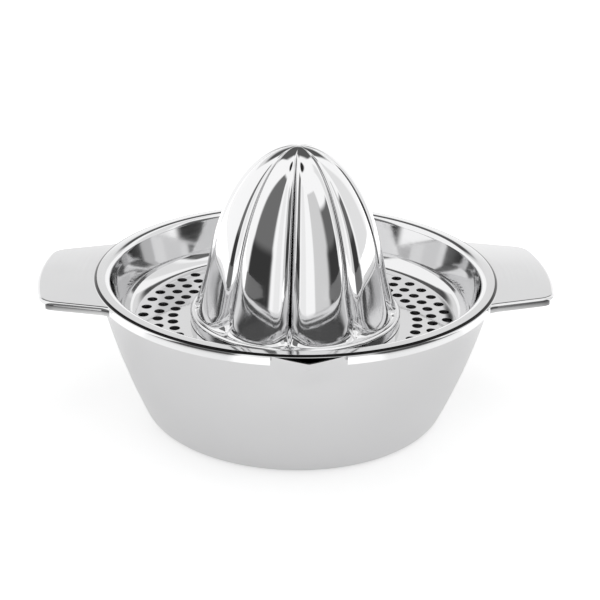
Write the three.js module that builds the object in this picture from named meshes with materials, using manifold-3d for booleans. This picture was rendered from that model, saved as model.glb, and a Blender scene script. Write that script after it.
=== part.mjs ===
// Manual citrus juicer in polished stainless steel: a bowl, a strainer tray that lifts off it and a fluted
// reamer. Millimetres, +Z up. The origin is on the ground under the middle of the bowl, the handles lie
// along X and the pour lip points to -Y.
import * as THREE from 'three';
import { mergeGeometries, mergeVertices } from 'three/addons/utils/BufferGeometryUtils.js';
import Module from 'manifold-3d';

// ---------- driving dimensions ----------
const bowlSheet = 0.7;            // steel thickness of the bowl
const traySheet = 0.7;            // steel thickness of the strainer tray
const reamerSheet = 0.7;          // steel thickness of the reamer
const restGap = 0.3;              // between pieces that rest on one another
const skirtClearance = 0.5;       // between the bowl's rim and the tray's skirt, all round

const bowlHeight = 54.4;          // ground to rim
const bowlRimRadius = 74.6;       // outside of the wall at the rim
const bowlTaper = 22.1;           // how much smaller the flat underside's radius is than the rim's
const bowlCornerRadius = 6;       // between the underside and the wall
const bowlWallBulge = 1.4;        // how far the wall bows out from a straight taper

const lipHalfWidth = 11.5;        // pour lip, measured along the rim from its middle
const lipDip = 2;                 // how far the rim drops in the middle of the lip
const lipReach = 16;              // how far down the wall the lip fades away
const notchClearance = 1.4;       // between the lip's side and the end of the tray's skirt

const flangeWidth = 5.4;          // from the skirt's outside to the start of the cup's bend
const skirtDepth = 3.7;           // flange top to the skirt's lower edge
const skirtBendRadius = 1.4;      // flange to skirt, outside
const cupDepth = 19.3;            // flange top to the top of the perforated floor
const cupBendRadius = 2.5;        // flange to cup wall
const cupWallLean = 1.4;          // how far the cup's wall leans in over its height
const cupCornerRadius = 7;        // cup wall to floor

const handleLength = 20.9;        // rim to the end of a handle
const handleRimHalfWidth = 33;    // half the handle's width where it leaves the rim
const handleTaper = 0.27;         // half width lost per millimetre towards the end
const handleEndRadius = 100;      // curve of the handle's end, seen from above
const handleCornerRadius = 5;     // corners of the handle's end
const handleRootFlare = 3;        // curve between the rim's skirt and the handle's skirt
const handleStep = 0.8;           // how far the handle's top lies below the flange

const holeRadius = 1.8;
const holePitch = 6.1;            // along the innermost ring, which sets the number in every ring
const holeRingPitch = 5.7;        // from ring to ring
const holeFootMargin = 6.7;       // reamer's foot to the innermost ring
const holeCornerMargin = 1.2;     // outermost ring to the cup's rounded corner, at least

const reamerRadius = 34.6;        // half ellipsoid that holds the crests of the flutes
const coneHeight = 23;            // below this height over the foot the crests run on straight, as a cone
const flareHeight = 16;           // below this height they flare out from the cone
const footFlare = 1.4;            // how far they stand out from the cone at the foot
const reamerFootWidth = 1.52;     // crests at the foot to the outside of the round foot
const reamerFootHeight = 4.6;     // cup floor to the top of the foot
const reamerFootBend = 1.3;       // rounded edge of the foot
const reamerFootLand = 0.15;      // flat ring between the flutes' roots and the rounded edge
const reamerHeight = 64;          // top of the foot to the tip
const fluteCount = 9;
const fluteDepth = 0.09;          // valley depth as a part of the local radius
const fluteShoulder = 3.4;        // 2 for round flutes, more for flat crests with steep sides
const fluteTurn = -7;             // degrees from the pour lip round to the nearest valley, towards +X
const crestRootHeight = 1.2;      // height of the root under a crest
const valleyRootHeight = 8.5;     // height of the web under a valley
const ledgeWidth = 3;             // tray floor left under the reamer's foot

// ---------- sizes that follow ----------
const bowlBaseRadius = bowlRimRadius - bowlTaper;
const trayTop = bowlHeight + restGap + traySheet;
const skirtInnerRadius = bowlRimRadius + skirtClearance;
const skirtOuterRadius = skirtInnerRadius + traySheet;
const lipPush = skirtOuterRadius - bowlRimRadius;      // the lip ends flush with the skirt's outside
const skirtBottom = trayTop - skirtDepth;
const cupMouthRadius = skirtOuterRadius - flangeWidth;
const cupWallTopRadius = cupMouthRadius - cupBendRadius;
const cupFloor = trayTop - cupDepth;
const cupWallFootRadius = cupWallTopRadius - cupWallLean;
const cupFloorRadius = cupWallFootRadius - cupCornerRadius;
const reamerFootRadius = crestRadius(0, reamerRadius, reamerHeight) + reamerFootWidth;
const trayHoleRadius = reamerFootRadius - ledgeWidth;
const firstRingRadius = reamerFootRadius + holeFootMargin;
const holesPerRing = Math.floor(2 * Math.PI * firstRingRadius / holePitch);
const handleReach = skirtOuterRadius + handleLength;
const handleTop = trayTop - handleStep;
const reamerFootTop = cupFloor + reamerFootHeight;
const reamerTip = reamerFootTop + reamerHeight;
const fluteRootRadius = reamerFootRadius - reamerFootBend - reamerFootLand;

// ---------- drawing detail ----------
const roundSides = 48;            // sides of the bowl and the tray
const holeSides = 8;
const sidesPerFlute = 6;
const arcSteps = 3;
const cutOverrun = 2;             // how far a cutter runs past what it cuts

const steel = { color: 0xd9dadb, metalness: 1 };
const bowlMaterial = new THREE.MeshStandardMaterial({ ...steel, roughness: 0.28 });
const trayMaterial = new THREE.MeshStandardMaterial({ ...steel, roughness: 0.12 });
const reamerMaterial = new THREE.MeshStandardMaterial({ ...steel, roughness: 0.05 });

const wasm = await Module();
wasm.setup();

function toSolid(geometry) {
  const bare = geometry.clone();
  bare.deleteAttribute('normal');
  bare.deleteAttribute('uv');
  const merged = mergeVertices(bare, 1e-4);
  return new wasm.Manifold(new wasm.Mesh({
    numProp: 3,
    vertProperties: new Float32Array(merged.attributes.position.array),
    triVerts: new Uint32Array(merged.index.array),
  }));
}

function toGeometry(solid) {
  const mesh = solid.getMesh();
  const geometry = new THREE.BufferGeometry();
  geometry.setAttribute('position', new THREE.BufferAttribute(mesh.vertProperties, mesh.numProp));
  geometry.setIndex(new THREE.BufferAttribute(mesh.triVerts, 1));
  return geometry;
}

// Points of a circular arc in the profile plane, from one angle to another, in degrees.
function arc(radius, height, bend, from, to, steps = arcSteps) {
  const points = [];
  for (let i = 0; i <= steps; i++) {
    const angle = THREE.MathUtils.degToRad(THREE.MathUtils.lerp(from, to, i / steps));
    points.push(new THREE.Vector2(radius + bend * Math.cos(angle), height + bend * Math.sin(angle)));
  }
  return points;
}

// Closes an open profile into a sheet of even thickness, on the right of the path. The closed profile starts
// where the path does, goes out along the far face and comes back along the path.
function sheetProfile(path, thickness) {
  const back = path.map((point, i) => {
    const before = path[Math.max(i - 1, 0)];
    const after = path[Math.min(i + 1, path.length - 1)];
    const along = after.clone().sub(before).normalize();
    return new THREE.Vector2(point.x + along.y * thickness, point.y - along.x * thickness);
  });
  return [path[0].clone(), ...back, ...path.reverse()];
}

// Turns a profile of radius and height round the Z axis.
function turned(profile, sides = roundSides) {
  return new THREE.LatheGeometry(profile, sides).rotateX(Math.PI / 2);
}

// Extrudes an outline from one height to another.
function prism(shape, bottom, top) {
  const options = { depth: top - bottom, bevelEnabled: false, curveSegments: arcSteps };
  return new THREE.ExtrudeGeometry(shape, options).translate(0, 0, bottom);
}

// ---------- bowl ----------
// The inside face from the middle of the base out to the rim; the sheet's outside lies below and beyond it.
function bowlProfile() {
  const innerBend = bowlCornerRadius - bowlSheet;
  const cornerEnd = 26;           // degrees below the horizontal where the corner meets the wall
  const corner = arc(bowlBaseRadius, bowlCornerRadius, innerBend, -90, -cornerEnd);
  const wallFoot = corner[corner.length - 1];
  const wallTop = new THREE.Vector2(bowlRimRadius - bowlSheet, bowlHeight);
  const outward = new THREE.Vector2(wallTop.y - wallFoot.y, wallFoot.x - wallTop.x).normalize();
  const wall = [];
  const wallSteps = 6;
  for (let i = 1; i <= wallSteps; i++) {
    const along = i / wallSteps;
    const bulge = 4 * bowlWallBulge * along * (1 - along);
    wall.push(wallFoot.clone().lerp(wallTop, along).addScaledVector(outward, bulge));
  }
  const inside = [new THREE.Vector2(0, bowlSheet), ...corner, ...wall];
  const closed = sheetProfile(inside, bowlSheet);
  closed[inside.length].y = bowlHeight;                // the rim is cut level
  return closed.slice(1);                              // from the axis out and back to the axis
}

// Presses the pour lip into the rim at -Y: the wall moves out and the edge drops.
function pressLip(geometry) {
  const position = geometry.attributes.position;
  for (let i = 0; i < position.count; i++) {
    const [x, y, z] = [position.getX(i), position.getY(i), position.getZ(i)];
    const radius = Math.hypot(x, y);
    const offset = Math.abs(Math.atan2(x, -y)) * bowlRimRadius / lipHalfWidth;
    const depth = (bowlHeight - z) / lipReach;
    if (offset >= 1 || depth >= 1 || radius < bowlBaseRadius) continue;
    const strength = (1 - offset) * (1 - depth) ** 2;
    const scale = (radius + lipPush * strength) / radius;
    position.setXYZ(i, x * scale, y * scale, z - lipDip * strength);
  }
  return geometry;
}

// Lathe sides are laid out so that the lip's middle falls on one of them and its flanks are finely divided.
function turnedFiner(profile, sides) {
  const geometry = turned(profile, sides);
  const position = geometry.attributes.position;
  const lipAngle = 1.25 * lipHalfWidth / bowlRimRadius;
  const step = 2 * Math.PI / sides;
  const fineSides = 5;            // sides on each half of the lip
  for (let i = 0; i < position.count; i++) {
    const [x, y] = [position.getX(i), position.getY(i)];
    const radius = Math.hypot(x, y);
    if (radius < 1e-6) continue;
    const angle = Math.atan2(x, -y);
    const index = Math.abs(angle) / step;
    const rest = (Math.PI - lipAngle) / (sides / 2 - fineSides);
    const moved = index <= fineSides ? index * lipAngle / fineSides : lipAngle + (index - fineSides) * rest;
    const placed = Math.sign(angle) * moved;
    position.setXY(i, radius * Math.sin(placed), -radius * Math.cos(placed));
  }
  return geometry;
}

function makeBowl() {
  return toGeometry(toSolid(pressLip(turnedFiner(bowlProfile(), roundSides))));
}

// ---------- strainer tray ----------
// The top face from the central hole out over the cup and the flange and down the skirt.
function trayProfile() {
  const top = [
    new THREE.Vector2(trayHoleRadius, cupFloor),
    ...arc(cupFloorRadius, cupFloor + cupCornerRadius, cupCornerRadius, -90, -5),
    ...arc(cupMouthRadius, trayTop - cupBendRadius, cupBendRadius, 175, 90),
    ...arc(skirtOuterRadius - skirtBendRadius, trayTop - skirtBendRadius, skirtBendRadius, 90, 0),
    new THREE.Vector2(skirtOuterRadius, skirtBottom),
  ];
  return sheetProfile(top, traySheet);
}

// Outline of the right handle seen from above, drawn in from its real edge by the given inset.
function handleOutline(inset) {
  const rootX = Math.sqrt(skirtOuterRadius ** 2 - handleRimHalfWidth ** 2);
  const halfWidth = (x) => handleRimHalfWidth - handleTaper * (x - rootX) - inset;
  const endX = (y) => handleReach - inset - handleEndRadius + Math.sqrt(handleEndRadius ** 2 - y ** 2);
  let cornerX = handleReach;
  for (let i = 0; i < 8; i++) cornerX = endX(halfWidth(cornerX));
  const corner = handleCornerRadius - inset;
  const edgeEnd = cornerX - corner;
  const arcStart = halfWidth(cornerX) - corner;
  const flareStart = rootX + handleRootFlare;
  const shape = new THREE.Shape();
  const startX = rootX - handleRootFlare;
  shape.moveTo(startX, -halfWidth(rootX) - handleRootFlare);
  shape.quadraticCurveTo(rootX, -halfWidth(rootX), flareStart, -halfWidth(flareStart));
  shape.lineTo(edgeEnd, -halfWidth(edgeEnd));
  shape.quadraticCurveTo(cornerX, -halfWidth(cornerX), endX(arcStart), -arcStart);
  const endSteps = 8;
  for (let i = 1; i <= endSteps; i++) {
    const y = THREE.MathUtils.lerp(-arcStart, arcStart, i / endSteps);
    shape.lineTo(endX(y), y);
  }
  shape.quadraticCurveTo(cornerX, halfWidth(cornerX), edgeEnd, halfWidth(edgeEnd));
  shape.lineTo(flareStart, halfWidth(flareStart));
  shape.quadraticCurveTo(rootX, halfWidth(rootX), startX, halfWidth(rootX) + handleRootFlare);
  shape.closePath();
  return shape;
}

// Both handles as one geometry: the right one and its twin turned half way round.
function bothSides(geometry) {
  return mergeGeometries([geometry, geometry.clone().rotateZ(Math.PI)]);
}

function strainerHoles() {
  const cutters = [];
  const pitch = 2 * Math.PI / holesPerRing;
  const length = traySheet + 2 * cutOverrun;
  let turn = pitch / 2;           // every second ring is staggered by half a pitch
  for (let radius = firstRingRadius; radius <= cupFloorRadius - holeCornerMargin; radius += holeRingPitch) {
    for (let i = 0; i < holesPerRing; i++) {
      const cutter = new THREE.CylinderGeometry(holeRadius, holeRadius, length, holeSides);
      cutter.rotateX(Math.PI / 2).translate(radius, 0, cupFloor - traySheet / 2).rotateZ(turn + i * pitch);
      cutters.push(cutter);
    }
    turn = pitch / 2 - turn;
  }
  return mergeGeometries(cutters);
}

// Gap in the skirt over the pour lip. It leaves the flange above it whole.
function skirtNotch() {
  const width = 2 * (lipHalfWidth + notchClearance);
  const top = trayTop - traySheet;
  const notch = new THREE.BoxGeometry(width, flangeWidth, skirtDepth);
  return notch.translate(0, -skirtOuterRadius, top - skirtDepth / 2);
}

// A round plug that keeps the handles' shapes out of the middle of the tray.
function plug(radius) {
  const cylinder = new THREE.CylinderGeometry(radius, radius, 4 * skirtDepth, roundSides);
  return toSolid(cylinder.rotateX(Math.PI / 2).translate(0, 0, skirtBottom));
}

function makeTray() {
  const rim = toSolid(turned(trayProfile()));
  const plates = toSolid(bothSides(prism(handleOutline(0), skirtBottom, handleTop)));
  const hollows = toSolid(bothSides(
    prism(handleOutline(traySheet), skirtBottom - cutOverrun, handleTop - traySheet)));
  const handles = plates.subtract(plug(skirtOuterRadius - traySheet / 2));
  const undersides = hollows.subtract(plug(skirtInnerRadius - restGap));
  return toGeometry(rim.add(handles).subtract(undersides)
    .subtract(toSolid(strainerHoles())).subtract(toSolid(skirtNotch())));
}

// ---------- reamer ----------
// Radius of a flute's crest at a height above the foot: a half ellipsoid, then a cone, then a flare.
function crestRadius(height, radius, tipHeight) {
  const part = height / tipHeight;
  const cone = coneHeight / tipHeight;
  const dome = Math.sqrt(Math.max(0, 1 - Math.max(part, cone) ** 2));
  const straight = part < cone ? (cone - part) * cone / dome : 0;
  return radius * (dome + straight) + footFlare * Math.max(0, 1 - height / flareHeight) ** 2;
}

// Radius of a flute as a share of its crest's. Across runs from 0 at the crest to 1 at the valley.
function fluteShare(across) {
  return 1 - fluteDepth * across ** fluteShoulder;
}

// One face of the reamer: rings of points from the foot's edge up to the tip, moved inwards by the inset.
function reamerRings(inset) {
  const sides = fluteCount * sidesPerFlute;
  const tipHeight = reamerHeight - inset;
  const rootSteps = 3;
  const domeSteps = 7;
  const footTop = reamerFootTop - inset;
  const bendRadius = reamerFootRadius - reamerFootBend;
  const bendHeight = reamerFootTop - reamerFootBend;
  const footEdge = arc(bendRadius, bendHeight, reamerFootBend - inset, 0, 90, 2);
  const footBottom = cupFloor + restGap;
  const turn = THREE.MathUtils.degToRad(fluteTurn);
  const rings = [];
  const place = (radius, height, side) => {
    const angle = turn + 2 * Math.PI * side / sides;
    return new THREE.Vector3(radius * Math.sin(angle), -radius * Math.cos(angle), height);
  };
  const ring = (point) => rings.push(Array.from({ length: sides }, (_, side) => point(side)));
  ring((side) => place(reamerFootRadius - inset, footBottom, side));
  footEdge.forEach((edge) => ring((side) => place(edge.x, edge.y, side)));
  const across = (side) => Math.abs(1 - 2 * ((side % sidesPerFlute) / sidesPerFlute));
  const rootHeight = (side) => THREE.MathUtils.lerp(crestRootHeight, valleyRootHeight, across(side) ** 2);
  const domeRadius = (height, side) => {
    const share = fluteShare(across(side));
    return crestRadius(height, reamerRadius - inset, tipHeight) * share;
  };
  for (let i = 0; i < rootSteps; i++) {
    const angle = Math.PI / 2 * (1 - i / rootSteps);
    ring((side) => {
      const start = domeRadius(rootHeight(side), side);
      const spread = fluteRootRadius - inset - start;
      const radius = start + spread * (1 - Math.cos(angle));
      return place(radius, footTop + rootHeight(side) * (1 - Math.sin(angle)), side);
    });
  }
  for (let i = 0; i < domeSteps; i++) {
    const rise = Math.sin(Math.PI / 2 * i / domeSteps);
    ring((side) => {
      const height = THREE.MathUtils.lerp(rootHeight(side), tipHeight, rise);
      return place(domeRadius(height, side), footTop + height, side);
    });
  }
  return { rings, tip: new THREE.Vector3(0, 0, footTop + tipHeight) };
}

function makeReamer() {
  const outer = reamerRings(0);
  const inner = reamerRings(reamerSheet);
  const sides = fluteCount * sidesPerFlute;
  const vertices = [];
  const faces = [];
  const add = (point) => vertices.push(point.x, point.y, point.z) / 3 - 1;
  const bridge = (low, high) => {
    for (let i = 0; i < sides; i++) {
      const next = (i + 1) % sides;
      faces.push(low[i], low[next], high[next], low[i], high[next], high[i]);
    }
  };
  const outerRows = outer.rings.map((row) => row.map(add));
  const innerRows = inner.rings.map((row) => row.map(add));
  const rows = [...innerRows.reverse(), ...outerRows];
  for (let i = 1; i < rows.length; i++) bridge(rows[i - 1], rows[i]);
  const cap = (row, tip, outward) => {
    const apex = add(tip);
    for (let i = 0; i < sides; i++) {
      const next = (i + 1) % sides;
      faces.push(...(outward ? [row[i], row[next], apex] : [row[next], row[i], apex]));
    }
  };
  cap(rows[rows.length - 1], outer.tip, true);
  cap(rows[0], inner.tip, false);
  const geometry = new THREE.BufferGeometry();
  geometry.setAttribute('position', new THREE.Float32BufferAttribute(vertices, 3));
  geometry.setIndex(faces);
  return toGeometry(toSolid(geometry));
}

// ---------- assembly ----------
function piece(name, geometry, material) {
  const mesh = new THREE.Mesh(geometry, material);
  mesh.name = name;
  return mesh;
}

const juicer = new THREE.Group();
juicer.add(piece('bowl', makeBowl(), bowlMaterial));
juicer.add(piece('strainer_tray', makeTray(), trayMaterial));
juicer.add(piece('reamer', makeReamer(), reamerMaterial));

export default juicer;
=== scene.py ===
"""Stainless steel citrus juicer: bowl, strainer tray and fluted reamer, shaped round the CAD model."""

import math

import bmesh
import bpy
from bpy.props import FloatProperty, FloatVectorProperty, IntProperty, PointerProperty
from bpy.types import Operator, Panel, PropertyGroup
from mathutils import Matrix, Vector


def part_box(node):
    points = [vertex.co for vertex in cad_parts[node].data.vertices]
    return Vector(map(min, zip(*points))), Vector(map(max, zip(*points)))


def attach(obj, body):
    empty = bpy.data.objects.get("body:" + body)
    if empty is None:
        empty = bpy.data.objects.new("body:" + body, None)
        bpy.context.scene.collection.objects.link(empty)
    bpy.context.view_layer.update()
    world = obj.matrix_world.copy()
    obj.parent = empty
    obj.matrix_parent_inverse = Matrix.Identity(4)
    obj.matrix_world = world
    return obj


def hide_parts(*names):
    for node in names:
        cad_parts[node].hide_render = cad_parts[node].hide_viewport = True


bl_info = {
    "name": "Citrus Juicer",
    "version": (1, 0, 0),
    "blender": (4, 5, 0),
    "location": "3D View > Sidebar > Juicer",
    "description": "Builds a stainless steel citrus juicer round its CAD model",
    "category": "Object",
}

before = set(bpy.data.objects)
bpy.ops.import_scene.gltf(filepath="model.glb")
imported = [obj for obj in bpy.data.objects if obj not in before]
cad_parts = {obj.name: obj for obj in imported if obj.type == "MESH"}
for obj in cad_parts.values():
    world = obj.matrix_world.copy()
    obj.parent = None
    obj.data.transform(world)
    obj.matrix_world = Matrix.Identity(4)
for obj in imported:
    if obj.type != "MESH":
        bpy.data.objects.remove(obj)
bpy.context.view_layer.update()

MM = 0.001
AXIS = Vector((0, 0, 0))
BOWL_LOW, BOWL_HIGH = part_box("bowl")
TRAY_LOW, TRAY_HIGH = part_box("strainer_tray")
REAMER_LOW, REAMER_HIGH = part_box("reamer")
REST_GAP = 0.3 * MM  # between the tray's floor and the reamer's lower edge
PLAIN_BANDS = (43.7 * MM, 49.5 * MM, 55.3 * MM)  # radii of the floor's plain bands beside the rings of holes
# Places of a flute's rails, 0 on the crest and 1 in the valley, closer together towards the fold.
FLUTE_PLACES = (0, 0.1, 0.2, 0.3, 0.4, 0.5, 0.6, 0.7, 0.78, 0.85, 0.9, 0.94, 0.965, 1)
FOLD_START = 0.94  # place where the pressed fold of the valley begins


def length(name, description, default):
    """A size that a user can change, in metres."""
    return FloatProperty(name=name, description=description, default=default, unit="LENGTH")


def turn_angle(name, description, degrees):
    """An angle that a user can change."""
    return FloatProperty(name=name, description=description, default=math.radians(degrees), subtype="ANGLE")


def share(name, description, default):
    """A share between 0 and 1."""
    return FloatProperty(name=name, description=description, default=default, min=0, max=1, subtype="FACTOR")


def colour(name, description, default):
    """A linear colour."""
    return FloatVectorProperty(
        name=name, description=description, default=default, size=3, subtype="COLOR", min=0, max=1
    )


# ---------- sizes ----------


class BowlSizes(PropertyGroup):
    """The bowl and its pour lip"""

    sheet: length("Sheet", "Thickness of the steel", 0.7 * MM)
    rim_radius: length("Rim radius", "Outside of the wall at the rim", BOWL_HIGH.y)
    height: length("Height", "Ground to rim", BOWL_HIGH.z)
    taper: length("Taper", "How much smaller the underside's radius is than the rim's", 22.1 * MM)
    corner: length("Corner", "Bend between the underside and the wall", 6 * MM)
    bulge: length("Bulge", "How far the wall bows out from a straight taper", 1.4 * MM)
    lip_half_width: length("Lip half width", "Pour lip from its middle to its side", 12.5 * MM)
    lip_dip: length("Lip dip", "Drop of the rim in the middle of the lip", 2.1 * MM)
    lip_push: length("Lip push", "How far the lip stands out from the wall", 1.1 * MM)


class TraySizes(PropertyGroup):
    """The strainer tray, its skirt, handles and holes"""

    sheet: length("Sheet", "Thickness of the steel", 0.7 * MM)
    skirt_radius: length("Skirt radius", "Outside of the skirt", TRAY_HIGH.y)
    skirt_depth: length("Skirt depth", "Flange top to the skirt's lower edge", 3.7 * MM)
    skirt_bend: length("Skirt bend", "Flange to skirt, outside", 1.4 * MM)
    flange: length("Flange", "Skirt's outside to the start of the cup's bend", 3.9 * MM)
    cup_bend: length("Cup bend", "Flange to cup wall", 2.5 * MM)
    cup_lean: length("Cup lean", "How far the cup's wall leans in", 2.9 * MM)
    cup_corner: length("Cup corner", "Cup wall to floor", 7 * MM)
    centre_hole: length("Centre hole", "Radius of the opening under the reamer", 37 * MM)
    handle_reach: length("Handle reach", "Middle of the tray to the end of a handle", TRAY_HIGH.x)
    handle_half_width: length("Handle half width", "Half width at the rim", 33 * MM)
    handle_taper: FloatProperty(name="Handle taper", description="Half width lost per length", default=0.27)
    handle_end: length("Handle end", "Curve of the end seen from above", 100 * MM)
    handle_corner: length("Handle corner", "Corners of the end seen from above", 5 * MM)
    handle_flare: length("Handle flare", "Curve from the rim's skirt to the handle's", 3 * MM)
    handle_step: length("Handle step", "Drop from the flange to the handle's top", 0.8 * MM)
    handle_edge: length("Handle edge", "Rounding of the handle's top edge", 1.5 * MM)
    # Width and place of the painted reflection: a dark line painted round the flange's outer bend.
    seam: length("Seam", "Half width of the dark line round the flange's outer bend", 0.58 * MM)
    painted_line_angle: turn_angle("Seam angle", "Place of the dark line on the bend, 90 at the flange", 60)
    notch_half_width: length("Notch half width", "Gap in the skirt over the pour lip", 12.9 * MM)
    hole_radius: length("Hole radius", "Strainer holes", 2 * MM)
    first_ring: length("First ring", "Radius of the innermost ring of holes", 46.7 * MM)
    ring_pitch: length("Ring pitch", "From ring to ring", 5.7 * MM)
    rings: IntProperty(name="Rings", description="Rings of holes", default=3)
    holes: IntProperty(name="Holes", description="Holes in a ring", default=48)


class ReamerSizes(PropertyGroup):
    """The fluted reamer"""

    sheet: length("Sheet", "Thickness of the steel", 0.7 * MM)
    foot_radius: length("Foot radius", "Outside of the round foot", REAMER_HIGH.y)
    foot_height: length("Foot height", "Tray floor to the top of the foot", 4.6 * MM)
    foot_bend: length("Foot bend", "Rounded edge of the foot", 1.3 * MM)
    crest_radius: length("Crest radius", "Half ellipsoid that holds the crests", 34.6 * MM)
    cone_height: length("Cone height", "Below this height the crests run straight, as a cone", 23 * MM)
    flutes: IntProperty(name="Flutes", description="Flutes round the reamer", default=9)
    foot_depth: share("Valley depth at the foot", "Share of the local radius", 0.085)
    tip_depth: share("Valley depth at the tip", "Share of the local radius", 0.125)
    shoulder: FloatProperty(name="Shoulder", description="2 is round, more has flat crests", default=6)
    turn: turn_angle("Turn", "Pour lip round to the nearest valley, towards +X", -7)
    flare_height: length("Flare height", "Below this height the crests flare out from the cone", 16 * MM)
    flare: length("Flare", "How far the crests stand out from the cone at the foot", 1.4 * MM)
    foot_land: length("Foot land", "Flat ring between the roots and the foot's edge", 0.15 * MM)
    crease: length("Crease", "Extra depth of the pressed fold along a valley", 0.9 * MM)
    crest_root: length("Crest root", "Height of the root under a crest", 1.2 * MM)
    valley_root: length("Valley root", "Height of the web under a valley", 8.5 * MM)


# ---------- shaping tools ----------


def begin(name, point):
    """Adds a plane, merges it to one vertex at the point and leaves it selected for drawing."""
    if bpy.context.mode != "OBJECT":
        bpy.ops.object.mode_set(mode="OBJECT")
    bpy.ops.object.select_all(action="DESELECT")
    bpy.ops.mesh.primitive_plane_add(size=MM)
    piece = bpy.context.active_object
    piece.name = piece.data.name = name
    bpy.ops.object.mode_set(mode="EDIT")
    bpy.ops.mesh.select_mode(type="VERT")
    bpy.ops.mesh.select_all(action="SELECT")
    bpy.ops.mesh.merge(type="CENTER")
    bpy.ops.transform.translate(value=point)
    return piece


def draw(points):
    """Extrudes the selected vertex along the points. It stands on the first one."""
    for before, after in zip(points, points[1:]):
        bpy.ops.mesh.extrude_region_move(TRANSFORM_OT_translate={"value": after - before})


def finish_edit():
    """Leaves edit mode."""
    bpy.ops.object.mode_set(mode="OBJECT")


def only(*pieces):
    """Selects the pieces and nothing else, and makes the last one active."""
    bpy.ops.object.select_all(action="DESELECT")
    for piece in pieces:
        piece.select_set(True)
    bpy.context.view_layer.objects.active = pieces[-1]


def select(piece, kind, test):
    """Selects the vertices, edges or faces of the piece in edit mode that pass the test, and nothing else."""
    bpy.ops.mesh.select_mode(type=kind)
    bpy.ops.mesh.select_all(action="DESELECT")
    mesh = bmesh.from_edit_mesh(piece.data)
    for item in {"VERT": mesh.verts, "EDGE": mesh.edges, "FACE": mesh.faces}[kind]:
        if test(item):
            item.select_set(True)
    mesh.select_flush_mode()
    bmesh.update_edit_mesh(piece.data)


def clean(distance=1e-6):
    """Merges doubles and turns all faces outwards."""
    bpy.ops.mesh.select_all(action="SELECT")
    bpy.ops.mesh.remove_doubles(threshold=distance)
    bpy.ops.mesh.normals_make_consistent(inside=False)


def spin(steps):
    """Turns the drawn profile once round the upright axis."""
    bpy.ops.mesh.select_all(action="SELECT")
    bpy.ops.mesh.spin(steps=steps, angle=2 * math.pi, center=AXIS, axis=(0, 0, 1))
    clean()


def finish_with(piece, name, kind, **settings):
    """Adds a modifier to the piece and applies it."""
    if bpy.context.mode != "OBJECT":
        finish_edit()
    only(piece)
    modifier = piece.modifiers.new(name, kind)
    for key, value in settings.items():
        setattr(modifier, key, value)
    bpy.ops.object.modifier_apply(modifier=name)


def combine(piece, tool, operation):
    """Joins or cuts the piece with the tool, and drops the tool."""
    finish_with(piece, operation.title(), "BOOLEAN", object=tool, operation=operation, solver="EXACT")
    bpy.data.objects.remove(tool, do_unlink=True)


def smooth(piece, degrees=35):
    """Smooth shading with sharp creases past the angle, and flats that keep flat reflections."""
    only(piece)
    bpy.ops.object.shade_smooth_by_angle(angle=math.radians(degrees))
    finish_with(piece, "Even light", "WEIGHTED_NORMAL", keep_sharp=True, weight=60)


def bend(radius, height, size, start, end, steps):
    """Points of a circular bend in the profile plane, between two angles in degrees."""
    angles = [math.radians(start + (end - start) * i / steps) for i in range(steps + 1)]
    return [Vector((radius + size * math.cos(a), 0, height + size * math.sin(a))) for a in angles]


def dress(piece, material, body, node):
    """Gives the piece its material and its place in the frame."""
    piece.data.materials.clear()
    piece.data.materials.append(material)
    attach(piece, body)
    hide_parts(node)


# ---------- materials ----------


def node_tree(name):
    """A new material and its shader, with helpers to add and wire nodes."""
    material = bpy.data.materials.new(name)
    material.use_nodes = True
    tree = material.node_tree
    return material, tree, tree.nodes["Principled BSDF"]


def wire(tree, source, output, target, socket):
    """Joins two nodes."""
    tree.links.new(source.outputs[output], target.inputs[socket])


# Near black colour of the painted dark lines: a painted reflection round the tray's flange bend and painted
# shade in the reamer's valley folds.
PAINTED_DARK_COLOUR = (0.012, 0.012, 0.012, 1)


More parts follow.
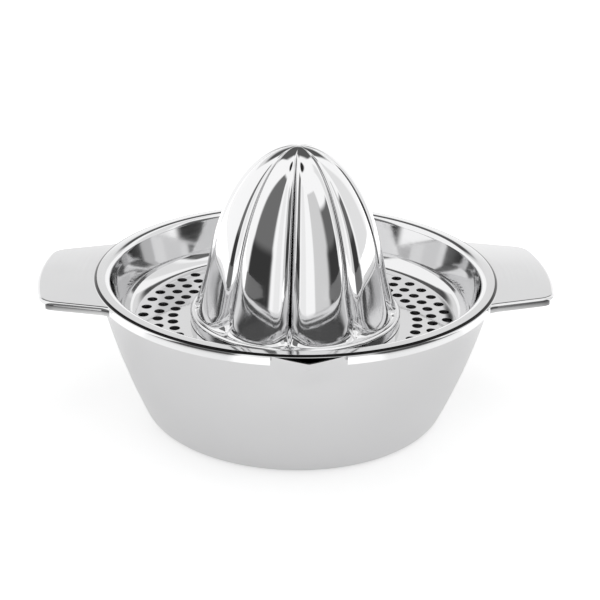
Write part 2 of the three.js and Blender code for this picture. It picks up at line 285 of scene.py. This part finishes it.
def steel(name, tint, roughness, spread, bump, grain, seam=None):
    """Polished steel: faint polishing marks in the roughness and a very slight waviness in the surface.
    The last argument is a function that adds nodes whose output is 1 where a dark line is painted: a painted
    reflection on the tray's flange bend, painted shade in the pressed folds of the reamer's valleys."""
    material, tree, shader = node_tree(name)
    shader.inputs["Metallic"].default_value = 1
    place = tree.nodes.new("ShaderNodeTexCoord")
    # fine circular polishing lines: a noise drawn out along the turning direction
    split = tree.nodes.new("ShaderNodeSeparateXYZ")
    wire(tree, place, "Object", split, "Vector")
    flat = tree.nodes.new("ShaderNodeCombineXYZ")
    wire(tree, split, "X", flat, "X")
    wire(tree, split, "Y", flat, "Y")
    radius = tree.nodes.new("ShaderNodeVectorMath")
    radius.operation = "LENGTH"
    wire(tree, flat, "Vector", radius, 0)
    across = tree.nodes.new("ShaderNodeCombineXYZ")
    wire(tree, radius, "Value", across, "X")
    wire(tree, split, "Z", across, "Y")
    lines = tree.nodes.new("ShaderNodeTexNoise")
    lines.inputs["Scale"].default_value = grain
    lines.inputs["Detail"].default_value = 3
    wire(tree, across, "Vector", lines, "Vector")
    # broad, soft patches where the polish is a little duller
    patches = tree.nodes.new("ShaderNodeTexNoise")
    patches.inputs["Scale"].default_value = 45
    patches.inputs["Detail"].default_value = 4
    wire(tree, place, "Object", patches, "Vector")
    blend = tree.nodes.new("ShaderNodeMath")
    blend.operation = "MULTIPLY"
    wire(tree, lines, "Fac", blend, 0)
    wire(tree, patches, "Fac", blend, 1)
    dull = tree.nodes.new("ShaderNodeMapRange")
    dull.inputs["From Min"].default_value = 0.1
    dull.inputs["From Max"].default_value = 0.5
    dull.inputs["To Min"].default_value = roughness
    dull.inputs["To Max"].default_value = roughness + spread
    wire(tree, blend, "Value", dull, "Value")
    wire(tree, dull, "Result", shader, "Roughness")
    tone = tree.nodes.new("ShaderNodeMapRange")
    tone.inputs["To Min"].default_value = 0.96
    tone.inputs["To Max"].default_value = 1
    wire(tree, patches, "Fac", tone, "Value")
    paint = tree.nodes.new("ShaderNodeMix")
    paint.data_type = "RGBA"
    paint.blend_type = "MULTIPLY"
    paint.inputs["Factor"].default_value = 1
    paint.inputs["A"].default_value = (*tint, 1)
    wire(tree, tone, "Result", paint, "B")
    # Paints the colour near black where the function's mask is 1: a painted reflection on the tray, painted
    # shade on the reamer.
    if seam:
        fold = tree.nodes.new("ShaderNodeMix")
        fold.data_type = "RGBA"
        fold.inputs["B"].default_value = PAINTED_DARK_COLOUR
        tree.links.new(seam(tree, radius, split), fold.inputs["Factor"])
        wire(tree, paint, "Result", fold, "A")
        paint = fold
    wire(tree, paint, "Result", shader, "Base Color")
    relief = tree.nodes.new("ShaderNodeBump")
    relief.inputs["Strength"].default_value = 1
    relief.inputs["Distance"].default_value = bump
    wire(tree, lines, "Fac", relief, "Height")
    wire(tree, relief, "Normal", shader, "Normal")
    return material


def rim_painted_reflection(tree, radius, split):
    """A painted reflection: a fine dark line painted round the outer bend of the tray's flange, standing in
    for a dark reflection in the bend.
    """
    sizes = bpy.context.scene.juicer_tray
    from_axis = tree.nodes.new("ShaderNodeCombineXYZ")
    wire(tree, radius, "Value", from_axis, "X")
    wire(tree, split, "Z", from_axis, "Y")
    inward = sizes.skirt_bend * (1 - math.cos(sizes.painted_line_angle))
    down = sizes.skirt_bend * (1 - math.sin(sizes.painted_line_angle))
    gap = tree.nodes.new("ShaderNodeVectorMath")
    gap.operation = "DISTANCE"
    wire(tree, from_axis, "Vector", gap, 0)
    gap.inputs[1].default_value = (sizes.skirt_radius - inward, TRAY_HIGH.z - down, 0)
    line = tree.nodes.new("ShaderNodeMapRange")
    line.interpolation_type = "SMOOTHSTEP"
    fade = 0.12 * MM
    line.inputs["From Min"].default_value = sizes.seam + fade
    line.inputs["From Max"].default_value = sizes.seam - fade
    wire(tree, gap, "Value", line, "Value")
    return line.outputs["Result"]


def valley_painted_shade(tree, _radius, _split):
    """Painted shade: a dark line painted in the bottom of each flute's valley, where the attribute marks it,
    for the shade in the deep fold.
    """
    mark = tree.nodes.new("ShaderNodeAttribute")
    mark.attribute_name = "fold"
    return mark.outputs["Fac"]


def dull_shaded_steel(name, look):
    """The unpolished steel of inner and hidden faces: rougher, and with a darker tint that is painted shade.
    """
    return steel(name, look.inside_shade_tint, look.inside_roughness, spread=0.08, bump=0.4e-6, grain=900)


def back_with(piece, material, test):
    """Gives the faces that pass the test a second material."""
    only(piece)
    piece.data.materials.append(material)
    bpy.ops.object.mode_set(mode="EDIT")
    select(piece, "FACE", test)
    piece.active_material_index = 1
    bpy.ops.object.material_slot_assign()
    finish_edit()


class SteelLook(PropertyGroup):
    """How the three steel pieces look"""

    bowl_tint: colour("Bowl tint", "Colour of the satin bowl", (0.74, 0.74, 0.745))
    # Darker than the polished tints: painted shade on the bowl's inside, the tray's underside and the hole
    # walls.
    inside_shade_tint: colour("Inside tint", "Colour of the unpolished inner faces", (0.32, 0.32, 0.325))
    tray_tint: colour("Tray tint", "Colour of the polished tray", (0.74, 0.74, 0.745))
    reamer_tint: colour("Reamer tint", "Colour of the mirror polished reamer", (0.77, 0.77, 0.775))
    bowl_roughness: share("Bowl roughness", "Satin outside of the bowl", 0.2)
    inside_roughness: share("Inside roughness", "Unpolished inner faces", 0.35)
    tray_roughness: share("Tray roughness", "Polished tray", 0.05)
    reamer_roughness: share("Reamer roughness", "Mirror polished reamer", 0.03)


# ---------- pieces ----------


class JUICER_OT_bowl(Operator):
    """Spin the bowl, press its pour lip and give it its wall"""

    bl_idname = "juicer.bowl"
    bl_label = "Bowl"

    def execute(self, context):
        sizes, look = context.scene.juicer_bowl, context.scene.juicer_steel
        base = sizes.rim_radius - sizes.taper
        corner = bend(base, sizes.corner, sizes.corner, -90, -26, 12)
        foot, rim = corner[-1], Vector((sizes.rim_radius, 0, sizes.height))
        outward = Vector((rim.z - foot.z, 0, foot.x - rim.x)).normalized()
        steps = 28
        wall = [
            foot.lerp(rim, i / steps) + outward * 4 * sizes.bulge * (i / steps) * (1 - i / steps)
            for i in range(1, steps + 1)
        ]
        floor = [Vector((base * i / 4, 0, 0)) for i in range(4)]
        outline = [*floor, *corner, *wall]
        bowl = begin("bowl_shell", outline[0])
        draw(outline)
        spin(288)
        if min(bmesh.from_edit_mesh(bowl.data).faces, key=lambda f: f.calc_center_median().z).normal.z > 0:
            bpy.ops.mesh.flip_normals()
        lip = Vector((0, -sizes.rim_radius, sizes.height))
        select(bowl, "VERT", lambda v: (v.co - lip).length < 1e-5)
        bpy.ops.transform.translate(
            value=(0, -sizes.lip_push, -sizes.lip_dip),
            use_proportional_edit=True,
            proportional_edit_falloff="LINEAR",
            proportional_size=sizes.lip_half_width,
        )
        finish_with(bowl, "Wall", "SOLIDIFY", thickness=sizes.sheet, offset=-1, use_even_offset=True)
        smooth(bowl)
        material = steel(
            "satin_steel", look.bowl_tint, look.bowl_roughness,
            spread=0.08, bump=0.4e-6, grain=900,
        )
        dress(bowl, material, "bowl", "bowl")

        def faces_in(face):
            middle = face.calc_center_median()
            on_wall = face.normal.xy.dot(middle.xy) < 0 and face.normal.z > 0.05
            on_floor = face.normal.z > 0.9 and middle.z < sizes.corner
            return on_wall or on_floor

        # The inner faces get the darker steel, painted shade inside the bowl.
        back_with(bowl, dull_shaded_steel("satin_steel_inside_shaded", look), faces_in)
        return {"FINISHED"}


def handle_outline(sizes, inset):
    """Corners of the right handle seen from above, drawn in from its edge by the inset."""
    root = math.sqrt(sizes.skirt_radius**2 - sizes.handle_half_width**2)

    def half_width(x):
        return sizes.handle_half_width - sizes.handle_taper * (x - root) - inset

    def end(y):
        return sizes.handle_reach - inset - sizes.handle_end + math.sqrt(sizes.handle_end**2 - y**2)

    corner_x = sizes.handle_reach
    for _ in range(8):
        corner_x = end(half_width(corner_x))

    def curve(start, control, stop, steps=8):
        points = []
        for i in range(steps + 1):
            t = i / steps
            points.append(start * (1 - t) ** 2 + control * 2 * t * (1 - t) + stop * t**2)
        return points

    corner = sizes.handle_corner - inset
    flare = sizes.handle_flare
    edge_end = corner_x - corner
    arc_start = half_width(corner_x) - corner
    root_corner = Vector((root, -half_width(root), 0))
    points = curve(
        Vector((root - flare, -half_width(root) - flare, 0)),
        root_corner,
        Vector((root + flare, -half_width(root + flare), 0)),
    )
    points += curve(
        Vector((edge_end, -half_width(edge_end), 0)),
        Vector((corner_x, -half_width(corner_x), 0)),
        Vector((end(arc_start), -arc_start, 0)),
    )
    steps = 12
    for i in range(1, steps):
        y = -arc_start + 2 * arc_start * i / steps
        points.append(Vector((end(y), y, 0)))
    mirrored = [Vector((p.x, -p.y, 0)) for p in reversed(points[: len(points) - (steps - 1)])]
    return points + mirrored


def handle_block(name, sizes, inset, top, bottom, edge):
    """Both handles as solid blocks with rounded top edges."""
    lift = Vector((0, 0, top))
    outline = [p + lift for p in handle_outline(sizes, inset)]
    block = begin(name, outline[0])
    draw(outline)
    bpy.ops.mesh.select_all(action="SELECT")
    bpy.ops.mesh.edge_face_add()
    bpy.ops.mesh.extrude_region_move(TRANSFORM_OT_translate={"value": (0, 0, bottom - top)})
    clean()
    select(block, "EDGE", lambda e: all(abs(v.co.z - top) < 1e-6 for v in e.verts))
    bpy.ops.mesh.bevel(offset=edge, segments=6, affect="EDGES", clamp_overlap=False)
    bpy.ops.mesh.select_all(action="SELECT")
    bpy.ops.mesh.duplicate()
    bpy.ops.transform.rotate(value=math.pi, orient_axis="Z", center_override=AXIS)
    finish_edit()
    return block


def plug(name, radius, top, bottom, sides=288):
    """A round block in the middle of the tray."""
    bpy.ops.object.select_all(action="DESELECT")
    middle = (0, 0, (top + bottom) / 2)
    bpy.ops.mesh.primitive_cylinder_add(vertices=sides, radius=radius, depth=top - bottom, location=middle)
    block = bpy.context.active_object
    block.name = name
    bpy.ops.object.transform_apply(location=True, rotation=True, scale=True)
    return block


def hole_cutters(sizes, floor):
    """One punch for each strainer hole, a little wider above the floor, for a faint countersink."""
    sink, rise, widen = 0.12 * MM, 0.4 * MM, 1.05
    punches = None
    pitch = 2 * math.pi / sizes.holes
    for ring in range(sizes.rings):
        radius = sizes.first_ring + ring * sizes.ring_pitch
        bpy.ops.object.select_all(action="DESELECT")
        bpy.ops.mesh.primitive_cylinder_add(
            vertices=20, radius=sizes.hole_radius, depth=4 * MM, location=(radius, 0, floor - 2 * MM)
        )
        punch = bpy.context.active_object
        bpy.ops.object.transform_apply(location=True, rotation=True, scale=True)
        bpy.ops.object.mode_set(mode="EDIT")
        select(punch, "FACE", lambda f: f.normal.z > 0.9)
        bpy.ops.transform.translate(value=(0, 0, -sink))
        bpy.ops.mesh.extrude_region_move(TRANSFORM_OT_translate={"value": (0, 0, rise)})
        bpy.ops.transform.resize(value=(widen, widen, 1), center_override=(radius, 0, floor))
        bpy.ops.mesh.select_all(action="SELECT")
        if ring % 2 == 0:
            bpy.ops.transform.rotate(value=pitch / 2, orient_axis="Z", center_override=AXIS)
        bpy.ops.mesh.spin(
            steps=sizes.holes - 1, dupli=True, angle=2 * math.pi - pitch, center=AXIS, axis=(0, 0, 1)
        )
        finish_edit()
        if punches is None:
            punches = punch
        else:
            only(punch, punches)
            bpy.ops.object.join()
    return punches


class JUICER_OT_tray(Operator):
    """Spin the strainer tray, join its handles and cut its notch and holes"""

    bl_idname = "juicer.tray"
    bl_label = "Strainer tray"

    def execute(self, context):
        sizes, look = context.scene.juicer_tray, context.scene.juicer_steel
        top, floor = TRAY_HIGH.z, TRAY_LOW.z + sizes.sheet
        mouth = sizes.skirt_radius - sizes.flange
        wall_foot = mouth - sizes.cup_bend - sizes.cup_lean
        corner = wall_foot - sizes.cup_corner
        handle_top = top - sizes.handle_step
        skirt_bottom = top - sizes.skirt_depth
        outline = [
            *[Vector((r, 0, floor)) for r in (sizes.centre_hole, *PLAIN_BANDS)],
            *bend(corner, floor + sizes.cup_corner, sizes.cup_corner, -90, -5, 14),
            *bend(mouth, top - sizes.cup_bend, sizes.cup_bend, 175, 90, 12),
            *bend(sizes.skirt_radius - sizes.skirt_bend, top - sizes.skirt_bend, sizes.skirt_bend, 90, 0, 8),
            Vector((sizes.skirt_radius, 0, (top + skirt_bottom) / 2 - 0.3 * MM)),
            Vector((sizes.skirt_radius, 0, skirt_bottom)),
        ]
        tray = begin("tray_pressing", outline[0])
        draw(outline)
        spin(288)
        if min(bmesh.from_edit_mesh(tray.data).faces, key=lambda f: f.calc_center_median().z).normal.z < 0:
            bpy.ops.mesh.flip_normals()
        finish_with(tray, "Wall", "SOLIDIFY", thickness=sizes.sheet, offset=-1, use_even_offset=True)
        plates = handle_block("plates", sizes, 0, handle_top, skirt_bottom, sizes.handle_edge)
        below = 2 * MM
        outside = sizes.skirt_radius - sizes.sheet / 2
        combine(plates, plug("rim_room", outside, top + below, skirt_bottom - below), "DIFFERENCE")
        hollows = handle_block(
            "hollows", sizes, sizes.sheet, handle_top - sizes.sheet, skirt_bottom - below,
            sizes.handle_edge - sizes.sheet,
        )
        inside = sizes.skirt_radius - sizes.sheet - 0.3 * MM
        combine(hollows, plug("cup_room", inside, top + below, skirt_bottom - 2 * below), "DIFFERENCE")
        combine(tray, plates, "UNION")
        combine(tray, hollows, "DIFFERENCE")
        bpy.ops.object.select_all(action="DESELECT")
        notch_top = top - sizes.sheet
        middle = (0, -sizes.skirt_radius, notch_top - sizes.skirt_depth / 2)
        bpy.ops.mesh.primitive_cube_add(size=1, location=middle)
        notch = bpy.context.active_object
        notch.scale = (2 * sizes.notch_half_width, sizes.flange, sizes.skirt_depth)
        bpy.ops.object.transform_apply(location=True, rotation=True, scale=True)
        combine(tray, notch, "DIFFERENCE")
        combine(tray, hole_cutters(sizes, floor), "DIFFERENCE")
        smooth(tray)
        # The polished steel carries the painted reflection line round the flange's bend.
        material = steel(
            "polished_steel", look.tray_tint, look.tray_roughness,
            spread=0.05, bump=0.25e-6, grain=700, seam=rim_painted_reflection,
        )
        dress(tray, material, "strainer", "strainer_tray")

        def under_floor(face):
            """The underside of the cup's flat floor and the walls of the holes."""
            middle = face.calc_center_median()
            return face.normal.z < 0.3 and middle.z < floor and middle.xy.length < corner

        # The underside and the hole walls get the darker steel, painted shade under the floor and in the
        # holes.
        back_with(tray, dull_shaded_steel("polished_steel_under_shaded", look), under_floor)
        return {"FINISHED"}


class JUICER_OT_reamer(Operator):
    """Draw the rails of half a flute, bridge them, and repeat them round the reamer"""

    bl_idname = "juicer.reamer"
    bl_label = "Reamer"

    def rail(self, sizes, across):
        """Profile from the foot to the tip at a place in the flute, 0 on the crest and 1 in the valley."""
        bottom = REAMER_LOW.z
        floor = bottom - REST_GAP
        foot_top = floor + sizes.foot_height
        tip_height = REAMER_HIGH.z - foot_top

        def flute(height):
            part = height / tip_height
            depth = sizes.foot_depth + (sizes.tip_depth - sizes.foot_depth) * part
            cone = sizes.cone_height / tip_height
            crest = math.sqrt(max(0, 1 - max(part, cone) ** 2))
            if part < cone:
                crest += (cone - part) * cone / crest
            flare = sizes.flare * max(0, 1 - height / sizes.flare_height) ** 2
            fold = sizes.crease * (1 - part) * max(0, (across - FOLD_START) / (1 - FOLD_START))
            return (sizes.crest_radius * crest + flare) * (1 - depth * across**sizes.shoulder) - fold

        root_height = sizes.crest_root + (sizes.valley_root - sizes.crest_root) * across**2.5
        edge = sizes.foot_radius - sizes.foot_bend
        spread = edge - sizes.foot_land
        points = [
            Vector((sizes.foot_radius, 0, bottom)),
            *bend(edge, foot_top - sizes.foot_bend, sizes.foot_bend, 0, 90, 8),
        ]
        start = flute(root_height)
        for i in range(10):
            angle = math.pi / 2 * (1 - i / 10)
            radius = start + (spread - start) * (1 - math.cos(angle))
            points.append(Vector((radius, 0, foot_top + root_height * (1 - math.sin(angle)))))
        steps = 44
        for i in range(steps + 1):
            height = root_height + (tip_height - root_height) * math.sin(math.pi / 2 * i / steps)
            points.append(Vector((flute(height), 0, foot_top + height)))
        return points

    def execute(self, context):
        sizes, look = context.scene.juicer_reamer, context.scene.juicer_steel
        half = math.pi / sizes.flutes
        reamer = None
        for place in FLUTE_PLACES:
            points = self.rail(sizes, place)
            angle = half * place
            turned = [Vector((p.x * math.sin(angle), -p.x * math.cos(angle), p.z)) for p in points]
            if reamer is None:
                reamer = begin("reamer_shell", turned[0])
            else:
                bpy.ops.mesh.select_all(action="DESELECT")
                bpy.ops.mesh.primitive_plane_add(size=MM, location=turned[0])
                bpy.ops.mesh.merge(type="CENTER")
            draw(turned)
        count = len(points)
        for first in range(len(FLUTE_PLACES) - 1):

            def on_a_rail(edge):
                """The edge runs along the first rail or the next one."""
                rails = {vertex.index // count for vertex in edge.verts}
                return len(rails) == 1 and rails <= {first, first + 1}

            select(reamer, "EDGE", on_a_rail)
            bpy.ops.mesh.bridge_edge_loops()
        bpy.ops.mesh.select_mode(type="VERT")
        bpy.ops.mesh.select_all(action="SELECT")
        bpy.ops.mesh.duplicate()
        bpy.ops.transform.resize(value=(-1, 1, 1), center_override=AXIS)
        bpy.ops.mesh.select_all(action="SELECT")
        bpy.ops.mesh.spin(
            steps=sizes.flutes - 1, dupli=True, angle=2 * math.pi - 2 * half, center=AXIS, axis=(0, 0, 1)
        )
        clean(5e-6)
        if max(bmesh.from_edit_mesh(reamer.data).faces, key=lambda f: f.calc_center_median().z).normal.z < 0:
            bpy.ops.mesh.flip_normals()
        bpy.ops.mesh.select_all(action="SELECT")
        bpy.ops.transform.rotate(value=-sizes.turn - half, orient_axis="Z", center_override=AXIS)
        finish_edit()
        # Marks the valley lines above the web, where the reamer's material paints a dark line as painted
        # shade.
        mark = reamer.data.attributes.new("fold", "FLOAT", "POINT")
        web = REAMER_LOW.z + sizes.foot_height + sizes.valley_root - 1 * MM
        for point, value in zip(reamer.data.vertices, mark.data):
            angle = math.atan2(point.co.x, -point.co.y) - sizes.turn
            from_valley = abs((angle + half) % (2 * half) - half)
            value.value = 1.0 if from_valley < 0.01 and point.co.z > web else 0.0
        finish_with(reamer, "Wall", "SOLIDIFY", thickness=sizes.sheet, offset=-1, use_even_offset=True)
        smooth(reamer, 60)
        # The mirror steel carries the painted shade along the valleys.
        material = steel(
            "mirror_steel", look.reamer_tint, look.reamer_roughness,
            spread=0.03, bump=0.15e-6, grain=500, seam=valley_painted_shade,
        )
        dress(reamer, material, "strainer", "reamer")
        return {"FINISHED"}


# ---------- stage ----------


class StudioSettings(PropertyGroup):
    """Camera and light"""

    view_turn: turn_angle("View turn", "Camera round the object from the pour lip, towards +X", -3.9)
    view_rise: turn_angle("View rise", "Camera above the horizon", 23.11)
    view_roll: turn_angle("View roll", "Camera tilt", 1.09)
    view_distance: length("View distance", "Camera to the point it looks at", 0.5511)
    view_side: length("View side", "Point it looks at, to the right of the middle", 1.7 * MM)
    view_drop: length("View drop", "Point it looks at, below the tray's top", 12.11 * MM)
    view_angle: turn_angle("View angle", "Width of the picture", 23.42)
    light: FloatProperty(name="Light", description="Brightness of the light tent", default=1.22)


# Dark cards round the light tent: middle and half width round the object, from the far side towards
# +X, lowest and highest edge above the horizon, softness of the edges, all in degrees, and how light it is.
CARDS = (
    (-126, 15, -12, 66, 6, 0.16),
    (-126, 17, -12, 10, 6, 0.25),
    (121, 15, -12, 34, 6, 0.14),
    (121, 17, -12, 10, 6, 0.3),
    (149, 10, -12, 52, 2.5, 0.66),
    (-168, 10, -12, 60, 6, 0.88),
    (78, 12, -12, 60, 8, 0.8),
    (0, 34, 34, 62, 8, 0.1),
    (0, 40, 21.3, 36, 0.8, 0.76),
    (0, 181, 83, 91, 4, 0.02),
)


# Dark cards that lie on the floor at the camera's two sides: middle and half width round the object.
FLOOR_CARDS = ((-126, 20), (121, 20))


def calculate(tree, operation, first, second=None):
    """A math node's result. The inputs are results or numbers."""
    node = tree.nodes.new("ShaderNodeMath")
    node.operation = operation
    for i, value in enumerate((first, second)):
        if isinstance(value, bpy.types.NodeSocket):
            tree.links.new(value, node.inputs[i])
        elif value is not None:
            node.inputs[i].default_value = value
    return node.outputs[0]


def step(tree, value, start, stop):
    """A soft step from 0 to 1 between two angles in degrees."""
    node = tree.nodes.new("ShaderNodeMapRange")
    node.interpolation_type = "SMOOTHSTEP"
    tree.links.new(value, node.inputs["Value"])
    node.inputs["From Min"].default_value = math.radians(start)
    node.inputs["From Max"].default_value = math.radians(stop)
    return node.outputs[0]


def round_about(tree, place, output, middle, half, soft):
    """1 within a sector round the upright axis and 0 outside it, and the vector's height."""
    turned = tree.nodes.new("ShaderNodeMapping")
    turned.inputs["Rotation"].default_value = (0, 0, math.radians(middle))
    wire(tree, place, output, turned, "Vector")
    split = tree.nodes.new("ShaderNodeSeparateXYZ")
    wire(tree, turned, "Vector", split, "Vector")
    around = calculate(tree, "ARCTAN2", split.outputs["X"], split.outputs["Y"])
    outside = step(tree, calculate(tree, "ABSOLUTE", around), half, half + soft)
    return calculate(tree, "SUBTRACT", 1, outside), split.outputs["Z"]


def studio_world(studio):
    """A white light tent with dark cards, as polished steel shows it. Behind the object it is plain white."""
    world = bpy.data.worlds.new("studio")
    world.use_nodes = True
    tree = world.node_tree
    place = tree.nodes.new("ShaderNodeTexCoord")
    light = None
    for middle, half, low, high, soft, shade in CARDS:
        inside, height = round_about(tree, place, "Generated", middle, half, soft)
        rise = calculate(tree, "ARCSINE", height)
        above = step(tree, rise, low - soft, low)
        below = calculate(tree, "SUBTRACT", 1, step(tree, rise, high, high + soft))
        mask = calculate(tree, "MULTIPLY", calculate(tree, "MULTIPLY", inside, above), below)
        card = calculate(tree, "SUBTRACT", 1, calculate(tree, "MULTIPLY", mask, 1 - shade))
        light = card if light is None else calculate(tree, "MULTIPLY", light, card)
    background = tree.nodes["Background"]
    background.inputs["Strength"].default_value = studio.light
    tree.links.new(light, background.inputs["Color"])
    plain = tree.nodes.new("ShaderNodeBackground")
    plain.inputs["Color"].default_value = (1, 1, 1, 1)
    ray = tree.nodes.new("ShaderNodeLightPath")
    choice = tree.nodes.new("ShaderNodeMixShader")
    wire(tree, ray, "Is Camera Ray", choice, "Fac")
    tree.links.new(background.outputs[0], choice.inputs[1])
    tree.links.new(plain.outputs[0], choice.inputs[2])
    tree.links.new(choice.outputs[0], tree.nodes["World Output"].inputs["Surface"])
    return world


def floor_material():
    """A pale floor with painted light: it glows, which lifts its shadows, less near the object as a painted
    contact shade and more further out. Only polished steel shows the dark cards that lie on it.
    """
    material, tree, shader = node_tree("pale_floor")
    place = tree.nodes.new("ShaderNodeTexCoord")
    away = tree.nodes.new("ShaderNodeVectorMath")
    away.operation = "LENGTH"
    wire(tree, place, "Object", away, 0)

    def ramp(near, far, low, high):
        node = tree.nodes.new("ShaderNodeMapRange")
        node.interpolation_type = "SMOOTHSTEP"
        for name, value in zip(("From Min", "From Max", "To Min", "To Max"), (near, far, low, high)):
            node.inputs[name].default_value = value
        wire(tree, away, "Value", node, "Value")
        return node.outputs[0]

    ray = tree.nodes.new("ShaderNodeLightPath")
    bare = None
    for middle, half in FLOOR_CARDS:
        inside, _ = round_about(tree, place, "Object", middle, half, 6)
        card = calculate(tree, "SUBTRACT", 1, calculate(tree, "MULTIPLY", inside, ramp(0.15, 0.25, 0, 0.9)))
        bare = card if bare is None else calculate(tree, "MULTIPLY", bare, card)
    bare = calculate(tree, "MAXIMUM", bare, ray.outputs["Is Camera Ray"])
    # Painted contact shade: the floor glows less within 0.11 m of the middle and more beyond 0.19 m.
    glow = calculate(tree, "MULTIPLY", bare, ramp(0.11, 0.19, 0.3, 0.85))
    # Painted light: the camera sees the floor glow at least this much, which whitens it near the object.
    seen = calculate(tree, "MULTIPLY", ray.outputs["Is Camera Ray"], 0.5)
    glow = calculate(tree, "MAXIMUM", glow, seen)
    tree.links.new(glow, shader.inputs["Emission Strength"])
    tree.links.new(calculate(tree, "MULTIPLY", bare, 0.7), shader.inputs["Base Color"])
    shader.inputs["Roughness"].default_value = 0.6
    shader.inputs["Emission Color"].default_value = (1, 1, 1, 1)
    return material


class JUICER_OT_stage(Operator):
    """Make the floor, the studio light and the camera"""

    bl_idname = "juicer.stage"
    bl_label = "Studio"

    def execute(self, context):
        studio = context.scene.juicer_studio
        bpy.ops.object.select_all(action="DESELECT")
        bpy.ops.mesh.primitive_plane_add(size=6, location=(0, 0, 0))
        floor = bpy.context.active_object
        floor.name = "studio_floor"
        floor.data.materials.append(floor_material())
        context.scene.world = studio_world(studio)
        turn, rise = studio.view_turn, studio.view_rise
        back = Vector((math.sin(turn) * math.cos(rise), -math.cos(turn) * math.cos(rise), math.sin(rise)))
        side = Vector((math.cos(turn), math.sin(turn), 0))
        target = side * studio.view_side + Vector((0, 0, TRAY_HIGH.z - studio.view_drop))
        lens = bpy.data.cameras.new("studio_camera")
        camera = bpy.data.objects.new("studio_camera", lens)
        context.scene.collection.objects.link(camera)
        lens.sensor_width = 36
        lens.lens = 18 / math.tan(studio.view_angle / 2)
        lens.clip_start, lens.clip_end = 0.01, 50
        camera.location = target + back * studio.view_distance
        camera.rotation_euler = (-back).to_track_quat("-Z", "Y").to_euler()
        camera.rotation_euler.rotate_axis("Z", studio.view_roll)
        context.scene.camera = camera
        context.scene.view_settings.view_transform = "Standard"
        return {"FINISHED"}


class JUICER_PT_panel(Panel):
    """Sizes and build buttons"""

    bl_label = "Citrus Juicer"
    bl_space_type = "VIEW_3D"
    bl_region_type = "UI"
    bl_category = "Juicer"

    def draw(self, context):
        for operator, group in (
            ("juicer.bowl", "juicer_bowl"),
            ("juicer.tray", "juicer_tray"),
            ("juicer.reamer", "juicer_reamer"),
            ("juicer.stage", "juicer_studio"),
        ):
            box = self.layout.box()
            box.operator(operator)
            settings = getattr(context.scene, group)
            for name in settings.__annotations__:
                box.prop(settings, name)
        box = self.layout.box()
        for name in context.scene.juicer_steel.__annotations__:
            box.prop(context.scene.juicer_steel, name)


CLASSES = (
    BowlSizes,
    TraySizes,
    ReamerSizes,
    SteelLook,
    StudioSettings,
    JUICER_OT_bowl,
    JUICER_OT_tray,
    JUICER_OT_reamer,
    JUICER_OT_stage,
    JUICER_PT_panel,
)
GROUPS = {
    "juicer_bowl": BowlSizes,
    "juicer_tray": TraySizes,
    "juicer_reamer": ReamerSizes,
    "juicer_steel": SteelLook,
    "juicer_studio": StudioSettings,
}


def register():
    """Adds the classes and the settings."""
    for item in CLASSES:
        bpy.utils.register_class(item)
    for name, group in GROUPS.items():
        setattr(bpy.types.Scene, name, PointerProperty(type=group))


def unregister():
    """Takes the classes and the settings out again."""
    for name in GROUPS:
        delattr(bpy.types.Scene, name)
    for item in reversed(CLASSES):
        bpy.utils.unregister_class(item)


def main():
    """Builds everything in order."""
    register()
    bpy.ops.juicer.stage()
    bpy.ops.juicer.bowl()
    bpy.ops.juicer.tray()
    bpy.ops.juicer.reamer()


if __name__ == "__main__":
    main()
